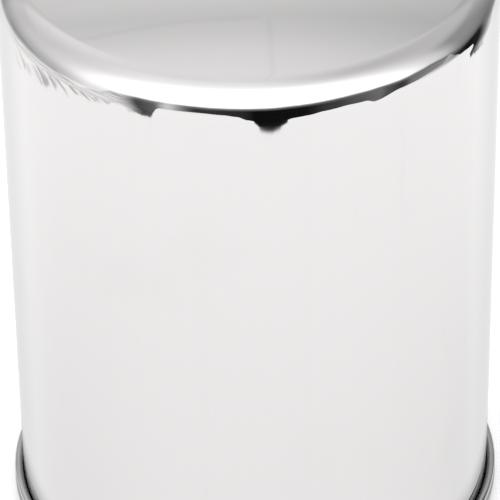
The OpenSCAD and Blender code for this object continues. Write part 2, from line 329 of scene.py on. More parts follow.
# a dark gap in the tent, a ragged band round the front that is seen only in reflections. Each edge and
# the tone is given by pairs of azimuth, in degrees with 0 to the front, and height or tone
flagValues = {
    "radius": 0.158,
    "height": 0.15,
    "fromAzimuth": -125.0,
    "toAzimuth": 130.0,
    "lowEdge": [(-122, 0.005), (-98, 0.0082), (-85, 0.0105), (-72, 0.0128), (-60, 0.0148), (-54, 0.022),
                (-50, 0.0156), (-40, 0.0156), (-34, 0.070), (-19, 0.076), (-10, 0.071), (-5, 0.060),
                (-1, 0.030), (2, 0.0175), (4, 0.0150), (8, 0.0145), (11, 0.0150), (14, 0.0170),
                (17, 0.030), (22, 0.038), (28, 0.054), (37, 0.063), (44, 0.060), (50, 0.035),
                (59, 0.066), (80, 0.078), (85, 0.101), (88, 0.076), (93, 0.058), (102, 0.050),
                (108, 0.0095), (130, 0.006)],
    "highEdge": [(-105, 0.090), (-85, 0.075), (-70, 0.050), (-60, 0.070), (-54, 0.102), (-41, 0.113),
                 (-18, 0.121), (6, 0.122), (18, 0.126),
                 (38, 0.130), (50, 0.126), (61, 0.119), (74, 0.120), (85, 0.107), (90, 0.100),
                 (103, 0.102), (117, 0.096), (130, 0.094)],
    "tone": [(-105, 0.50), (-54, 0.40), (-44, 0.09), (-37, 0.10), (-31, 0.55), (-27, 0.28), (-20, 0.05),
             (-3, 0.03), (2, 0.006), (20, 0.008), (31, 0.06), (41, 0.13), (50, 0.20), (54, 0.10),
             (60, 0.05), (66, 0.24), (77, 0.32), (84, 0.4), (89, 0.03), (97, 0.010), (106, 0.02),
             (113, 0.25), (130, 0.5)],
    "cover": [(-125, 0.0), (-112, 0.6), (-95, 0.8), (-60, 0.8), (-48, 0.85), (-43, 1.0), (-36, 0.95),
              (-31, 0.6),
              (-24, 1.0), (111, 1.0), (119, 0.5), (122, 0.0)],
    "upperTone": 0.24,
    "upperDepth": (0.003, 0.024),
}


def makeFlag(v):
    bm = bmesh.new()
    start = [bm.verts.new((v["radius"], 0, z)) for z in (0.0, v["height"])]
    edge = bm.edges.new(start)
    bmesh.ops.spin(bm, geom=start + [edge], cent=(0, 0, 0), axis=(0, 0, 1), angle=math.tau, steps=96,
                   use_merge=True)
    flag = addMesh("flag", bm)
    material, g = newMaterial("flagCloth")
    x, y, z = g.split(g.objectPlace())
    turn = g.add("ShaderNodeMath", {"operation": "ARCTAN2"}, x, -1.0 * y)
    span = v["toAzimuth"] - v["fromAzimuth"]
    share = (turn * math.degrees(1) - v["fromAzimuth"]) / span

    def profile(key, scale, easing="EASE"):
        stops = [((azimuth - v["fromAzimuth"]) / span, level / scale) for azimuth, level in v[key]]
        return g.add("ShaderNodeValToRGB", {"stops": stops, "easing": easing}, share) * scale

    ragged = g.noise(g.join(turn, 0.0, 0.0), 9.0, 3.0, 0.6) - 0.5
    low = profile("lowEdge", v["height"]) + ragged * 0.005 * (1.0 - turn.between(-0.02, 0.25, 0.05))
    high = profile("highEdge", v["height"]) - ragged * 0.004
    band = (z - low).smooth(-0.0006, 0.0006) * (1.0 - (z - high).smooth(-0.008, 0.006))
    streaks = g.noise(g.join(turn * 2.2, z * 150.0 + turn * 6.0, 0.0), 1.0, 3.0, 0.6)
    sides = 1.0 - turn.smooth(-0.95, -0.75)
    fine = g.noise(g.join(turn * 4.0, z * 420.0 + turn * 14.0, 0.0), 1.0, 3.0, 0.6)
    thin = 1.0 - sides * fine.smooth(0.40, 0.56)
    tone = profile("tone", 1.0) * (0.4 + 1.2 * streaks)
    tone = g.mixValue((high - z).smooth(*v["upperDepth"]), v["upperTone"] * (0.6 + 0.8 * streaks), tone)
    cloth = g.add("ShaderNodeEmission", None, tone)
    clear = g.add("ShaderNodeBsdfTransparent")
    cover = band * profile("cover", 1.0) * thin
    g.add("ShaderNodeOutputMaterial", None, g.add("ShaderNodeMixShader", None, cover, clear, cloth))
    flag.data.materials.append(material)
    hideFrom(flag, "camera", "diffuse", "shadow", "transmission")


# the floor close to the piece is darker, but only as its own side and seam reflect it
contactValues = {
    "outerR": 75 * mm,
    "height": 0.4 * mm,
    "fade": (39 * mm, 47 * mm),
    "tone": 0.30,
    "depth": 0.85,
}


def makeContactShade(v):
    bm = bmesh.new()
    bmesh.ops.create_circle(bm, cap_ends=True, segments=96, radius=v["outerR"])
    bmesh.ops.translate(bm, verts=bm.verts, vec=(0, 0, v["height"]))
    shade = addMesh("contactShade", bm)
    material, g = newMaterial("contactShade")
    radius, z = g.radiusAndHeight(g.objectPlace())
    cover = (1.0 - radius.smooth(*v["fade"])) ** 1.6 * v["depth"]
    underside = g.add("ShaderNodeNewGeometry", None, output=6)
    dark = g.add("ShaderNodeEmission", None, (v["tone"], v["tone"], v["tone"], 1))
    clear = g.add("ShaderNodeBsdfTransparent")
    cover = cover * (1.0 - underside)
    g.add("ShaderNodeOutputMaterial", None, g.add("ShaderNodeMixShader", None, cover, clear, dark))
    shade.data.materials.append(material)
    hideFrom(shade, "camera", "diffuse", "shadow", "transmission")


makeTent(tentValues)
makeContactShade(contactValues)
makeFloor(studioValues)
makeTopLight(studioValues)
makeFlag(flagValues)
print("studio made")


def arcPoints(centre, radius, start, end, steps):
    # points on an arc between two angles in degrees
    turns = [math.radians(start + (end - start) * i / steps) for i in range(steps + 1)]
    return [(centre[0] + radius * math.cos(t), centre[1] + radius * math.sin(t)) for t in turns]


def rounded(corners, steps=5):
    # a closed outline from (across, up, corner radius)
    points = []
    for i, (across, up, radius) in enumerate(corners):
        corner = Vector((across, up))
        if not radius:
            points.append(tuple(corner))
            continue
        before = (Vector(corners[i - 1][:2]) - corner).normalized()
        after = (Vector(corners[(i + 1) % len(corners)][:2]) - corner).normalized()
        half = before.angle(after) / 2
        centre = corner + (before + after).normalized() * radius / math.sin(half)
        first = corner + before * radius / math.tan(half) - centre
        last = corner + after * radius / math.tan(half) - centre
        start = math.atan2(first.y, first.x)
        turn = math.remainder(math.atan2(last.y, last.x) - start, math.tau)
        points += arcPoints(centre, radius, math.degrees(start), math.degrees(start + turn), steps)
    return points


def shadeByAngle(bm, sharpAngle):
    bmesh.ops.remove_doubles(bm, verts=bm.verts, dist=1e-7)
    bmesh.ops.recalc_face_normals(bm, faces=bm.faces)
    for face in bm.faces:
        face.smooth = True
    for edge in bm.edges:
        edge.smooth = not edge.is_manifold or edge.calc_face_angle(0) < math.radians(sharpAngle)


def spinPieces(name, outlines, steps=256, sharpAngle=35.0):
    # spins closed outlines of (radius, height); one that starts on the axis also ends or crosses there
    bm = bmesh.new()
    for outline in outlines:
        verts = [bm.verts.new((r, 0, z)) for r, z in outline]
        pairs = zip(verts, verts[1:] + verts[:1])
        edges = [bm.edges.new(pair) for pair in pairs if pair[0].co.x or pair[1].co.x]
        bmesh.ops.spin(bm, geom=verts + edges, cent=(0, 0, 0), axis=(0, 0, 1), angle=math.tau, steps=steps,
                       use_merge=True)
    shadeByAngle(bm, sharpAngle)
    return addMesh(name, bm)


def prism(bm, outline, low, high):
    # a closed outline of (x, y) raised from low to high
    face = bm.faces.new([bm.verts.new((x, y, low)) for x, y in outline])
    raised = bmesh.ops.extrude_face_region(bm, geom=[face])["geom"]
    top = [item for item in raised if isinstance(item, bmesh.types.BMVert)]
    bmesh.ops.translate(bm, verts=top, vec=(0, 0, high - low))
    bmesh.ops.recalc_face_normals(bm, faces=bm.faces)


def rod(bm, radius, low, high, place=(0, 0), tipRadius=None, segments=40, turned=None):
    # an upright rod or cone, or one laid along another direction by a turn about the origin
    matrix = Matrix.Translation((place[0], place[1], (low + high) / 2))
    bmesh.ops.create_cone(bm, cap_ends=True, segments=segments, radius1=radius,
                          radius2=radius if tipRadius is None else tipRadius, depth=high - low,
                          matrix=(turned or Matrix()) @ matrix)


def carve(obj, bm, operation="DIFFERENCE", sharpAngle=35.0):
    # cuts the piece with the closed shapes in bm and keeps the result as its mesh
    tool = addMesh(obj.name + "Cutter", bm)
    modifier = obj.modifiers.new("carve", "BOOLEAN")
    modifier.operation = operation
    modifier.solver = "EXACT"
    modifier.use_self = operation == "DIFFERENCE"
    modifier.object = tool
    bpy.context.view_layer.update()
    carved = bpy.data.meshes.new_from_object(obj.evaluated_get(bpy.context.evaluated_depsgraph_get()))
    obj.modifiers.clear()
    bm = bmesh.new()
    bm.from_mesh(carved)
    shadeByAngle(bm, sharpAngle)
    bm.to_mesh(obj.data)
    bm.free()
    bpy.data.meshes.remove(carved)
    toolMesh = tool.data
    bpy.data.objects.remove(tool)
    bpy.data.meshes.remove(toolMesh)


def around(count, first=0.0):
    return [Matrix.Rotation(first + math.tau * i / count, 4, "Z") for i in range(count)]


def span(node):
    # lowest and highest point of a node, and its radius
    low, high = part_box(node)
    return low.z, high.z, high.x


def dress(obj, material, node, body="filter"):
    obj.data.materials.clear()
    obj.data.materials.append(material)
    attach(obj, body)
    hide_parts(node)
    print(obj.name, "made,", len(obj.data.polygons), "faces")


canValues = {
    "wallR": 38 * mm,
    "sheet": 0.45 * mm,
    "shoulderR": 5 * mm,
    "crownRise": 2.5 * mm,
    "seamGap": 0.03 * mm,
    "lidSheet": 0.45 * mm,
    "seamHeight": 3.4 * mm,
    "tone": (0.710, 0.699, 0.697),
    "smudgeTone": (0.60, 0.595, 0.59),
    "roughness": 0.03,
}


def seamBends(v):
    # the two centres that the can's hook and the lid's hook are bent round, with their radii
    bottom = span("seaming_lid")[0]
    lowR = v["lidSheet"] / 2 + v["seamGap"]
    topR = v["sheet"] / 2 + v["seamGap"]
    low = (v["wallR"] + lowR, bottom + lowR + v["sheet"] + v["seamGap"] + v["lidSheet"])
    top = (v["wallR"] + v["seamGap"] + v["lidSheet"] + topR, bottom + v["seamHeight"] - topR - v["lidSheet"])
    return low, lowR, top, topR


def makeCan(v):
    wall, sheet, shoulder, rise = v["wallR"], v["sheet"], v["shoulderR"], v["crownRise"]
    top = span("can_shell")[1]
    shoulderZ = top - rise - shoulder
    crownR = ((wall - shoulder) ** 2 + (rise + shoulder) ** 2 - shoulder ** 2) / (2 * rise)
    crown = (0, top - crownR)
    lean = math.degrees(math.asin((wall - shoulder) / (crownR - shoulder)))
    centre = (wall - shoulder, shoulderZ)
    bend, bendR, topBend, topR = seamBends(v)
    hookEnd = bend[0] + bendR
    outer = [(hookEnd, topBend[1])] + arcPoints(bend, bendR, 0, -180, 12)
    # close rings beside each bend keep the long wall's shading flat
    outer += [(wall, bend[1] + step * mm) for step in (0.5, 3, 20, 50)]
    outer += [(wall, shoulderZ - step * mm) for step in (10, 3, 1)]
    outer += arcPoints(centre, shoulder, 0, 90 - lean, 48)
    outer += arcPoints(crown, crownR, 90 - lean, 90, 30)[1:-1] + [(0, top)]
    inner = [(0, top - sheet)] + arcPoints(crown, crownR - sheet, 90, 90 - lean, 8)[1:-1]
    inner += arcPoints(centre, shoulder - sheet, 90 - lean, 0, 10)
    inner += arcPoints(bend, bendR + sheet, -180, 0, 12) + [(hookEnd + sheet, topBend[1])]
    return spinPieces("canBody", [outer + inner], steps=360)


def makeChrome(name, v, creviceShade=None):
    material, g = newMaterial(name)
    place = g.objectPlace()
    smudge = g.noise(place, 30.0, 4.0, 0.55).smooth(0.56, 0.74)
    film = g.noise(place, 9.0, 2.0).smooth(0.42, 0.75)
    draw = g.drawnStreaks(place, 30.0, 3.0).smooth(0.45, 0.8)
    color = g.mixColor(smudge * 0.16 + film * 0.07 + draw * 0.04, v["tone"], v["smudgeTone"])
    rough = v["roughness"] + smudge * 0.05 + draw * 0.012
    # painted shade: the top of the seam beside the can wall is darkened, with a little noise, where the
    # crevice between them lies in shade; the same band is also made rougher
    if creviceShade:
        radius, z = g.radiusAndHeight(place)
        creviceShadeMask = (1.0 - radius.smooth(*creviceShade["radius"])) * z.smooth(*creviceShade["height"])
        creviceShadeMask = creviceShadeMask * (0.75 + 0.5 * g.noise(place, 240.0, 3.0))
        color = g.mixColor(creviceShadeMask.math("MINIMUM", 1.0), color, creviceShade["tone"])
        rough = rough + creviceShadeMask * 0.22
    # faint wiped marks, longer up the wall than round it
    wiped = g.drawnStreaks(place, 9.0, 55.0, 4.0).smooth(0.60, 0.78)
    color = g.mixColor(wiped * 0.10, color, v["smudgeTone"])
    peel = g.noise(place, 160.0, 2.0)
    wave = g.noise(place, 26.0, 1.0)
    finishShader(g, bump=(peel * 0.12 + wave, 0.06 * mm, 0.6), Base_Color=color, Metallic=1.0,
                 Roughness=rough)
    return material


dress(makeCan(canValues), makeChrome("chromeCan", canValues), "can_shell")

lidValues = {
    "bendR": 0.4 * mm,
    "grooveGap": 0.15 * mm,
    "ridgeWidth": 2.4 * mm,
    "flangeWidth": 1.6 * mm,
    "hookGap": 0.05 * mm,
    # painted shade for the crevice between the can wall and the seam: the radii and heights it spans and its
    # dark tone
    "creviceShade": {"radius": (38.3 * mm, 39.25 * mm), "height": (3.7 * mm, 4.2 * mm), "tone": (0.30, 0.30, 0.298)},
    "tone": (0.60, 0.597, 0.594),
}


def makeLid(v, can):
    sheet, gap, turn = can["lidSheet"], can["seamGap"], v["bendR"]
    bend, bendR, topBend, topR = seamBends(can)
    bottom, ringTop = span("seaming_lid")[0], span("base_gasket")[1]
    wrap = bendR + can["sheet"] + gap + sheet
    chuck = can["wallR"] - can["sheet"] - gap - sheet
    ridgeOut = v["ringInner"] - v["grooveGap"]
    ridgeIn = ridgeOut - v["ridgeWidth"]
    half = v["ridgeWidth"] / 2
    ridge = (ridgeOut - half, bottom + sheet + half)
    inner = ridgeIn - v["flangeWidth"]
    level = ringTop - turn
    flange, groove, corner = (ridgeIn - turn, level), (ridgeOut + turn, level), (chuck - turn, level)
    tip = (topBend[0] - topR, bend[1] + v["hookGap"])
    under = [(inner, ringTop)] + arcPoints(flange, turn, 90, 0, 8) + arcPoints(ridge, half, 180, 360, 24)
    under += arcPoints(groove, turn, 180, 90, 8) + arcPoints(corner, turn, 90, 0, 8)
    under += arcPoints(bend, wrap, 180, 360, 32) + arcPoints(topBend, topR + sheet, 0, 180, 24)
    under += [(tip[0] - sheet, tip[1]), tip]
    over = arcPoints(topBend, topR, 180, 0, 12) + arcPoints(bend, wrap - sheet, 360, 180, 16)
    over += arcPoints(corner, turn + sheet, 0, 90, 6) + arcPoints(groove, turn + sheet, 90, 180, 6)
    over += arcPoints(ridge, half - sheet, 360, 180, 12) + arcPoints(flange, turn + sheet, 0, 90, 6)
    return spinPieces("baseSeam", [under + over + [(inner, ringTop + sheet)]], steps=360)


def ringRadii():
    # inner and outer radius of the sealing ring: its width is set and its outside is the node's box
    outer = span("base_gasket")[2]
    return outer - ringValues["width"], outer


ringValues = {
    "width": 4.5 * mm,
    "lip": 0.3 * mm,
    "edge": 0.6 * mm,
    "tone": (0.016, 0.016, 0.017),
    "bloom": (0.075, 0.076, 0.078),
}


def makeRing(v):
    low, high, outer = span("base_gasket")
    inner, edge, lip = outer - v["width"], v["edge"], v["lip"]
    corners = [(inner, low, lip), (outer, low, lip), (outer, high, edge), (inner, high, edge)]
    return spinPieces("sealingRing", [rounded(corners, 6)])


def makeRubber(name, v, roughness=0.55):
    material, g = newMaterial(name)
    place = g.objectPlace()
    bloom = g.noise(place, 70.0, 5.0, 0.65).smooth(0.5, 0.85)
    specks = g.noise(place, 900.0, 2.0).smooth(0.66, 0.8)
    mould = g.turnedRings(place, 1400.0)
    color = g.mixColor(bloom * 0.5 + specks * 0.35, v["tone"], v["bloom"])
    grain = g.noise(place, 1500.0, 2.0)
    finishShader(g, bump=(grain * 0.6 + mould * 0.5, 0.04 * mm, 0.5), Base_Color=color,
                 Roughness=roughness + bloom * 0.18 - specks * 0.1)
    return material


lidValues["ringInner"] = ringRadii()[0]
seamChrome = makeChrome("chromeSeam", dict(canValues, tone=lidValues["tone"]), lidValues["creviceShade"])
dress(makeLid(lidValues, canValues), seamChrome, "seaming_lid")
dress(makeRing(ringValues), makeRubber("blackRubber", ringValues), "base_gasket")

sealantValues = {
    "clear": 0.03 * mm,
    "tone": (0.028, 0.036, 0.034),
    "dryTone": (0.10, 0.11, 0.10),
}


def makeSealant(v, can):
    bend, bendR, topBend, topR = seamBends(can)
    low = arcPoints(bend, bendR - v["clear"], 180, 360, 14)
    high = arcPoints(topBend, topR - v["clear"], 15, 165, 14)
    return spinPieces("seamSealant", [low, high], steps=180)


# for each finish: tone, darker tone, roughness and how fine the coating's crystals are
sheetFinishes = {
    "zincPlate": ((0.60, 0.62, 0.64), (0.42, 0.45, 0.49), 0.30, 420.0),
    "tinnedSteel": ((0.68, 0.67, 0.65), (0.52, 0.51, 0.49), 0.22, 240.0),
    "zincTube": ((0.56, 0.57, 0.58), (0.38, 0.40, 0.43), 0.36, 520.0),
    "springSteel": ((0.26, 0.27, 0.30), (0.22, 0.17, 0.13), 0.30, 900.0),
    "valveSteel": ((0.36, 0.36, 0.37), (0.20, 0.20, 0.21), 0.34, 700.0),
}


def makeSheetMetal(name):
    # coated sheet: crystals of the coating, die marks that run round the axis, scuffs and a few scratches
    tone, darkTone, roughness, crystals = sheetFinishes[name]
    material, g = newMaterial(name)
    place = g.objectPlace()
    crystal = g.add("ShaderNodeSeparateColor", None, g.cells(place, crystals, output=1))
    scuff = g.noise(place, 120.0, 5.0, 0.65).smooth(0.48, 0.75)
    patch = g.noise(place, 32.0, 2.0)
    rings = g.turnedRings(place, 2600.0)
    stretched = g.add("ShaderNodeVectorMath", {"operation": "MULTIPLY"}, place, (40.0, 900.0, 300.0))
    scratch = g.noise(stretched, 1.0, 2.0).smooth(0.70, 0.78)
    color = g.mixColor(crystal * 0.35 + patch * 0.35 + scuff * 0.25, tone, darkTone)
    color = g.mixColor(scratch * 0.3, color, tuple(min(1.0, c * 1.25) for c in tone))
    rough = roughness + scuff * 0.14 + crystal * 0.06 - scratch * 0.05
    finishShader(g, bump=(rings * 0.5 + scuff * 0.35 - scratch * 0.3, 0.03 * mm, 0.5),
                 Base_Color=color, Metallic=1.0, Roughness=rough)
    return material


def makeSealantPaste(v):
    material, g = newMaterial("seamSealant")
    place = g.objectPlace()
    skin = g.noise(place, 420.0, 4.0, 0.6)
    color = g.mixColor(skin.smooth(0.45, 0.75), v["tone"], v["dryTone"])
    finishShader(g, bump=(skin, 0.08 * mm, 0.6), Base_Color=color, Roughness=0.42 + skin * 0.25)
    return material


dress(makeSealant(sealantValues, canValues), makeSealantPaste(sealantValues), "seam_compound")

plateValues = {
    "thickness": 3.2 * mm,
    "edge": 0.6 * mm,
    "hubR": 12.47 * mm,
    "hubFillet": 2.5 * mm,
    "minorR": 8.67 * mm,
    "chamfer": 1.0 * mm,
    "lipChamfer": 0.35 * mm,
    "majorR": 9.525 * mm,
    "pitch": 25.4 / 16 * mm,
    "threadSteps": 96,
    "portCount": 8,
    "portR": 3.5 * mm,
    "portPitchR": 19.7 * mm,
    "portRound": 0.35 * mm,
}


def threadCutter(bm, v, low, high):
    # a 60 degree groove swept up the bore, wider than the bore wall and flat at its root
    reach = 0.15 * mm
    depth = v["majorR"] - v["minorR"] + reach
    rootHalf = v["pitch"] / 16
    mouthHalf = rootHalf + depth * math.tan(math.radians(30))
    inner, outer = v["minorR"] - reach, v["majorR"]
    outline = [(inner, -mouthHalf), (outer, -rootHalf), (outer, rootHalf), (inner, mouthHalf)]
    verts = [bm.verts.new((r, 0, low + z)) for r, z in outline]
    start = bm.faces.new(verts)
    turns = (high - low) / v["pitch"]
    steps = round(turns * v["threadSteps"])
    edges = list(start.edges)
    end = bmesh.ops.spin(bm, geom=verts + edges, cent=(0, 0, 0), axis=(0, 0, 1), angle=math.tau * turns,
                         dvec=(0, 0, (high - low) / steps), steps=steps)["geom_last"]
    bm.faces.new([item for item in end if isinstance(item, bmesh.types.BMVert)])
    bmesh.ops.recalc_face_normals(bm, faces=bm.faces)


def makePlate(v):
    low, high, outer = span("thread_plate")
    top = low + v["thickness"]
    hub, fillet, edge = v["hubR"], v["hubFillet"], v["edge"]
    bore = v["minorR"]
    outline = rounded([(bore + v["chamfer"], low, 0), (outer, low, edge), (outer, top, edge)], 6)[:15]
    outline += arcPoints((hub + fillet, top + fillet), fillet, 270, 180, 12)
    outline += arcPoints((hub - edge, high - edge), edge, 0, 90, 6)
    outline += [(bore + v["lipChamfer"], high), (bore, high - v["lipChamfer"]), (bore, low + v["chamfer"])]
    plate = spinPieces("threadPlate", [outline], steps=240)
    ports = bmesh.new()
    for turn in around(v["portCount"]):
        place = (v["portPitchR"], 0)
        rod(ports, v["portR"], low - mm, top + mm, place, turned=turn, segments=48)
    carve(plate, ports)
    mouths = bmesh.new()
    for turn in around(v["portCount"]):
        place = (v["portPitchR"], 0)
        wide = v["portR"] + 2 * v["portRound"]
        rod(mouths, wide, low - v["portRound"], low + v["portRound"], place, v["portR"], 48, turn)
    carve(plate, mouths)
    thread = bmesh.new()
    threadCutter(thread, v, low - v["pitch"], high + v["pitch"])
    carve(plate, thread, sharpAngle=28.0)
    return plate


dress(makePlate(plateValues), makeSheetMetal("zincPlate"), "thread_plate")

drainValues = {
    "innerR": 10.67 * mm,
    "collarR": 14.07 * mm,
    "lipWidth": 1.0 * mm,
    "thickness": 1.4 * mm,
    "tone": (0.30, 0.035, 0.018),
    "bloom": (0.42, 0.12, 0.08),
}


def makeDrainValve(v):
    low, high, outer = span("anti_drain_valve")
    t, w = v["thickness"], v["lipWidth"]
    heel = (outer - 2 * w, low + 0.25 * t)
    corners = [(v["innerR"], high - t, 0.2 * mm), (v["collarR"], high - t, 1.2 * mm), (*heel, 0.8 * mm),
               (outer - w, low, 0.3 * mm), (outer, low, 0.35 * mm), (outer, low + 0.65 * t, 0.4 * mm),
               (heel[0], heel[1] + 0.8 * t, 1.5 * mm), (v["collarR"] + t / 2, high, 1.0 * mm),
               (v["innerR"], high, 0.4 * mm)]
    return spinPieces("antiDrainValve", [rounded(corners, 8)], steps=200)


dress(makeDrainValve(drainValues), makeRubber("redRubber", drainValues, 0.42),
      "anti_drain_valve")

capValues = {
    "sheet": 0.4 * mm,
    "bendR": 0.5 * mm,
    "collarGap": 0.15 * mm,
    "holeR": {"lower_end_cap": 10.67 * mm, "upper_end_cap": 9.8 * mm},
    "tubeInnerR": 14.0 * mm,
}


def makeEndCap(v, node, name, up, collar):
    # a disc at the cartridge's end with its rim turned over the paper, up is +1 or -1
    low, high, outer = span(node)
    base = low if up > 0 else high
    rim = base + up * (high - low)
    inside = base + up * v["sheet"]
    hole, sheet, bend = v["holeR"][node], v["sheet"], v["bendR"]
    corners = [(hole, base, 0), (outer, base, bend + sheet), (outer, rim, 0.15 * mm),
               (outer - sheet, rim, 0.15 * mm), (outer - sheet, inside, bend)]
    if collar:
        collarOut = v["tubeInnerR"] - v["collarGap"]
        corners += [(collarOut, inside, 0.3 * mm), (collarOut, rim, 0.15 * mm),
                    (collarOut - sheet, rim, 0.15 * mm), (collarOut - sheet, inside, 0.3 * mm)]
    return spinPieces(name, [rounded(corners + [(hole, inside, 0)], 6)], steps=200)


tinned = makeSheetMetal("tinnedSteel")
dress(makeEndCap(capValues, "lower_end_cap", "lowerEndCap", 1, True), tinned, "lower_end_cap")
dress(makeEndCap(capValues, "upper_end_cap", "upperEndCap", -1, False), tinned,
      "upper_end_cap")

bondValues = {
    "innerR": 14.5 * mm,
    "sink": 0.12 * mm,
    "climbWidth": 0.5 * mm,
    "tone": (0.46, 0.33, 0.14),
    "deepTone": (0.30, 0.19, 0.07),
}


def makeBond(v, node, name, up):
    # resin that has crept a little way up the cap's rim and the tube
    low, high, outer = span(node)
    base, level = (low, high) if up > 0 else (high, low)
    inner, width = v["innerR"], v["climbWidth"]
    sink = up * v["sink"]
    outline = [(inner, base), (outer, base), (outer, level)]
    for i in range(1, 7):
        fall = (1 - math.cos(math.pi * i / 6)) / 2
        outline.append((outer - width * i / 6, level - sink * fall))
    for i in range(7):
        rise = (1 + math.cos(math.pi * i / 6)) / 2
        outline.append((inner + width * (6 - i) / 6, level - sink * rise))
    return spinPieces(name, [outline], steps=160)


def makeResin(v):
    material, g = newMaterial("bondResin")
    place = g.objectPlace()
    cloud = g.noise(place, 90.0, 4.0)
    bubble = 1.0 - g.cells(place, 700.0).smooth(0.05, 0.22)
    color = g.mixColor(cloud.smooth(0.3, 0.7) * 0.8 + bubble * 0.2, v["tone"], v["deepTone"])
    finishShader(g, bump=(cloud * 0.5 - bubble * 0.6, 0.12 * mm, 0.5), Base_Color=color,
                 Roughness=0.28 + cloud * 0.2 + bubble * 0.2)
    return material


resin = makeResin(bondValues)
dress(makeBond(bondValues, "lower_bond", "lowerBond", 1), resin, "lower_bond")
dress(makeBond(bondValues, "upper_bond", "upperBond", -1), resin, "upper_bond")

paperValues = {
    "pleats": 50,
    "thickness": 0.6 * mm,
    "innerR": 15.0 * mm,
    "crestBend": 0.62 * mm,
    "rootBend": 0.12 * mm,
    "tone": (0.68, 0.50, 0.26),
    "fibreTone": (0.80, 0.66, 0.42),
    "stainTone": (0.50, 0.33, 0.14),
}


def makePaper(v):
    # the folded sheet seen from the end, its two faces laid out point for point, then raised
    low, high, outer = span("pleated_media")
    t, crest, root = v["thickness"], v["crestBend"], v["rootBend"]
    pitch = math.tau / v["pleats"]
    crestPlace, rootPlace = (outer - crest, 0), (v["innerR"] + t + root, 0)
    front, back = [], []
    for i in range(v["pleats"]):
        for place, turn, angles, radii in ((crestPlace, i, (-89, 89, 10), (crest, crest - t)),
                                           (rootPlace, i + 0.5, (265.4, 94.6, 8), (root, root + t))):
            turned = Matrix.Rotation(turn * pitch, 2)
            for face, radius in zip((front, back), radii):
                face += [turned @ Vector(point) for point in arcPoints(place, radius, *angles)]
    bm = bmesh.new()
    front, back = ([bm.verts.new((*point, low)) for point in face] for face in (front, back))
    corners = zip(front, front[1:] + front[:1], back[1:] + back[:1], back)
    faces = [bm.faces.new(corner) for corner in corners]
    raised = bmesh.ops.extrude_face_region(bm, geom=faces)["geom"]
    top = [item for item in raised if isinstance(item, bmesh.types.BMVert)]
    bmesh.ops.translate(bm, verts=top, vec=(0, 0, high - low))
    shadeByAngle(bm, 50.0)
    return addMesh("pleatedPaper", bm)


def makePaperFibre(v):
    # resin-cured paper: fibres, fine ribs round the axis, and a darker cure along the folds
    material, g = newMaterial("filterPaper")
    place = g.objectPlace()
    radius, z = g.radiusAndHeight(place)
    fibre = g.noise(place, 900.0, 4.0, 0.7)
    cloud = g.noise(place, 60.0, 3.0)
    ribs = (z * (math.tau / (1.7 * mm))).math("SINE") * 0.5 + 0.5
    folds = radius.smooth(29.5 * mm, 31 * mm) + (1.0 - radius.smooth(15 * mm, 16.5 * mm))
    color = g.mixColor(fibre.smooth(0.4, 0.7), v["tone"], v["fibreTone"])
    color = g.mixColor(cloud.smooth(0.45, 0.75) * 0.35 + folds * 0.3, color, v["stainTone"])
    finishShader(g, bump=(ribs * 0.8 + fibre * 0.35, 0.15 * mm, 0.6), Base_Color=color,
                 Roughness=0.78 + fibre * 0.16)
    return material


dress(makePaper(paperValues), makePaperFibre(paperValues), "pleated_media")

clipValues = {
    "strip": 0.35 * mm,
    "edge": 0.12 * mm,
    "bendR": 0.45 * mm,
}


def makeClip(v):
    # a long strip folded to a U round the outside of one fold
    low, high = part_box("media_seam_clip")
    near, far, half = low.x, high.x, high.y
    strip, bend = v["strip"], v["bendR"]
    edge = v["edge"]
    corners = [(near, -half, edge), (far, -half, bend + strip), (far, half, bend + strip), (near, half, edge),
               (near, half - strip, edge), (far - strip, half - strip, bend),
               (far - strip, strip - half, bend), (near, strip - half, edge)]
    bm = bmesh.new()
    prism(bm, rounded(corners, 6), low.z, high.z)
    shadeByAngle(bm, 35.0)
    return addMesh("seamClip", bm)


dress(makeClip(clipValues), tinned, "media_seam_clip")

tubeValues = {
    "sheet": 0.5 * mm,
    "holeR": 2.0 * mm,
    "plainEnd": 8.0 * mm,
    "rowPitch": 7.6 * mm,
    "perRow": 6,
}


def makeTube(v):
    low, high, outer = span("centre_tube")
    inner = outer - v["sheet"]
    corners = [(inner, low, 0.1 * mm), (outer, low, 0.12 * mm), (outer, high, 0.12 * mm),
               (inner, high, 0.1 * mm)]
    tube = spinPieces("centreTube", [rounded(corners, 3)], steps=144)
    rows = int((high - low - 2 * v["plainEnd"]) / v["rowPitch"])
    first = low + (high - low - (rows - 1) * v["rowPitch"]) / 2
    lay = Matrix.Rotation(math.pi / 2, 4, "Y")
    holes = bmesh.new()
    for row in range(rows):
        level = Matrix.Translation((0, 0, first + row * v["rowPitch"]))
        turned = math.pi / 2 + (row % 2) * math.pi / v["perRow"]
        for turn in around(v["perRow"], turned):
            rod(holes, v["holeR"], inner - mm, outer + mm, turned=level @ turn @ lay, segments=32)
    carve(tube, holes)
    return tube


dress(makeTube(tubeValues), makeSheetMetal("zincTube"), "centre_tube")

cageValues = {
    "sheet": 0.5 * mm,
    "wallR": 12.2 * mm,
    "stemHoleR": 1.55 * mm,
    "bendR": 0.6 * mm,
    "windowWidth": 7.93 * mm,
    "windowSill": 2.0 * mm,
    "windowHeight": 9.45 * mm,
    "windowCornerR": 1.4 * mm,
    "drainR": 1.6 * mm,
    "drainPlace": 8.54 * mm,
}


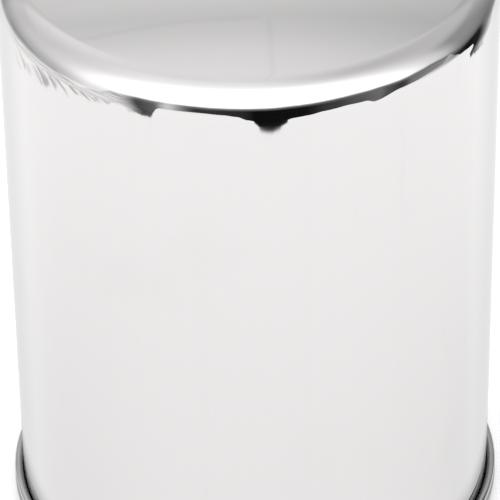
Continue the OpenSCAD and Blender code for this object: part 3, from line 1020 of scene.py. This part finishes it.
def makeCage(v):
    low, high, outer = span("bypass_cage")
    sheet, wall, bend = v["sheet"], v["wallR"], v["bendR"]
    corners = [(v["stemHoleR"], low, 0), (wall, low, bend + sheet), (wall, high - sheet, 0.3 * mm),
               (outer, high - sheet, 0.12 * mm), (outer, high, 0.12 * mm), (wall - sheet, high, 0.5 * mm),
               (wall - sheet, low + sheet, bend), (v["stemHoleR"], low + sheet, 0)]
    cage = spinPieces("reliefCage", [rounded(corners, 8)], steps=144)
    cuts = bmesh.new()
    half, tall = v["windowWidth"] / 2, v["windowHeight"] / 2
    level = low + v["windowSill"] + tall
    lay = Matrix.Rotation(math.pi / 2, 4, "Y")
    corner = v["windowCornerR"]
    sides = ((-tall, -half), (tall, -half), (tall, half), (-tall, half))
    window = rounded([(*side, corner) for side in sides])
    for turn in around(4):
        start = len(cuts.verts)
        prism(cuts, window, wall - 2 * mm, wall + mm)
        cuts.verts.ensure_lookup_table()
        raised = turn @ Matrix.Translation((0, 0, level)) @ lay
        bmesh.ops.transform(cuts, matrix=raised, verts=cuts.verts[start:])
        rod(cuts, v["drainR"], low - mm, low + sheet + mm, (v["drainPlace"], 0), turned=turn, segments=32)
    carve(cage, cuts)
    return cage


dress(makeCage(cageValues), tinned, "bypass_cage")

seatValues = {
    "sheet": 0.4 * mm,
    "holeR": 6.6 * mm,
    "bendR": 0.25 * mm,
}


def makeSeat(v):
    low, high, outer = span("bypass_seat")
    sheet, hole, bend = v["sheet"], v["holeR"], v["bendR"]
    corners = [(hole, low, 0.1 * mm), (hole + sheet, low, 0.1 * mm), (hole + sheet, high - sheet, bend),
               (outer, high - sheet, 0.1 * mm), (outer, high, 0.1 * mm), (hole, high, bend + sheet)]
    return spinPieces("reliefSeat", [rounded(corners, 6)], steps=144)


dress(makeSeat(seatValues), tinned, "bypass_seat")

discValues = {
    "bore": 1.5 * mm,
    "edge": 0.2 * mm,
    "sealEdge": 0.22 * mm,
    "headTopR": 2.1 * mm,
    "headHeight": 0.8 * mm,
    "headEdge": 0.25 * mm,
    "footEdge": 0.3 * mm,
}


def makeValveRing(name, node, v, edge):
    low, high, outer = span(node)
    corners = [(v["bore"], low, 0), (outer, low, edge), (outer, high, edge), (v["bore"], high, 0)]
    return spinPieces(name, [rounded(corners, 5)], steps=128)


def makeStem(v):
    low, high, outer = span("bypass_stem")
    shoulder = high - v["headHeight"]
    corners = [(0, low, 0), (v["bore"], low, v["footEdge"]), (v["bore"], shoulder, 0),
               (outer, shoulder, 0.08 * mm), (v["headTopR"], high, v["headEdge"]), (0, high, 0)]
    return spinPieces("valveStem", [rounded(corners)], steps=64)


valveSteel = makeSheetMetal("valveSteel")
dress(makeValveRing("valveDisc", "bypass_disc", discValues, discValues["edge"]), valveSteel,
      "bypass_disc", "relief_valve")
dress(makeValveRing("valveSeal", "bypass_seal", discValues, discValues["sealEdge"]),
      makeRubber("sealRubber", ringValues), "bypass_seal", "relief_valve")
dress(makeStem(discValues), valveSteel, "bypass_stem", "relief_valve")

springValues = {
    "wireR": 0.4 * mm,
    "turns": 4,
    "sides": 14,
    "steps": 48,
    "keep": 0.653,
    "groundLow": 75.35 * mm,
}


def makeValveSpring(v):
    # a round wire swept up in short stretches, closed turns at both ends and even ones between
    low, high, outer = span("bypass_spring")
    r, wire = outer - v["wireR"], v["wireR"]
    first, last = low + wire, high - wire
    closed = 2 * wire
    rise = last - first - 2 * closed
    bm = bmesh.new()
    upright = Matrix.Translation((r, 0, first)) @ Matrix.Rotation(math.pi / 2, 4, "X")
    ring = bmesh.ops.create_circle(bm, segments=v["sides"], radius=wire, matrix=upright)["verts"]
    bm.faces.new(ring)
    step = math.tau / v["steps"]
    for steps, climb in ((v["steps"], closed), (v["turns"] * v["steps"], rise), (v["steps"], closed)):
        edges = [edge for edge in bm.edges if all(vert in ring for vert in edge.verts)]
        swept = bmesh.ops.spin(bm, geom=ring + edges, cent=(0, 0, 0), axis=(0, 0, 1), angle=step * steps,
                               dvec=(0, 0, climb / steps), steps=steps)["geom_last"]
        ring = [item for item in swept if isinstance(item, bmesh.types.BMVert)]
    bmesh.ops.contextual_create(bm, geom=ring)
    shadeByAngle(bm, 50.0)
    return addMesh("valveSpring", bm)


springSteel = makeSheetMetal("springSteel")
spring = makeValveSpring(springValues)
dress(spring, springSteel, "bypass_spring")
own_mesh(spring)

leafValues = {
    "sheet": 0.6 * mm,
    "armWidth": 9.0 * mm,
    "flatR": 9.0 * mm,
    "holeR": 4.0 * mm,
    "footR": 24.55 * mm,
    "lean": 0.18 * mm,
    "bendR": 1.6 * mm,
    "cornerR": 0.8 * mm,
    "crownR": 2.0 * mm,
}


def makeLeafSpring(v):
    low, high, outer = span("hold_down_spring")
    sheet, lean, bend = v["sheet"], v["lean"], v["bendR"]
    flat, foot = v["flatR"], v["footR"]
    corners = [(v["holeR"], high, 0.08 * mm), (flat, high, bend + sheet), (foot, low + sheet, bend),
               (outer, low + sheet, 0.1 * mm), (outer, low, 0.1 * mm), (foot - lean, low, bend + sheet),
               (flat - lean, high - sheet, bend), (v["holeR"], high - sheet, 0.08 * mm)]
    leaf = spinPieces("holdDownSpring", [rounded(corners, 8)], steps=180)
    half, reach = v["armWidth"] / 2, outer + mm
    # where the arms leave the round crown, with a small radius in each inner corner
    leave = (flat ** 2 - half ** 2) ** 0.5
    between = Vector((1, 1)).normalized() * flat
    outline = []
    for i in range(4):
        turned = Matrix.Rotation(i * math.pi / 2, 2)
        arm = ((leave, -half, v["cornerR"]), (reach, -half, 0), (reach, half, 0), (leave, half, v["cornerR"]),
               (*between, v["crownR"]))
        outline += [(*(turned @ Vector((x, y))), radius) for x, y, radius in arm]
    cross = bmesh.new()
    prism(cross, rounded(outline, 6), low - mm, high + mm)
    carve(leaf, cross, "INTERSECT")
    return leaf


dress(makeLeafSpring(leafValues), springSteel, "hold_down_spring")
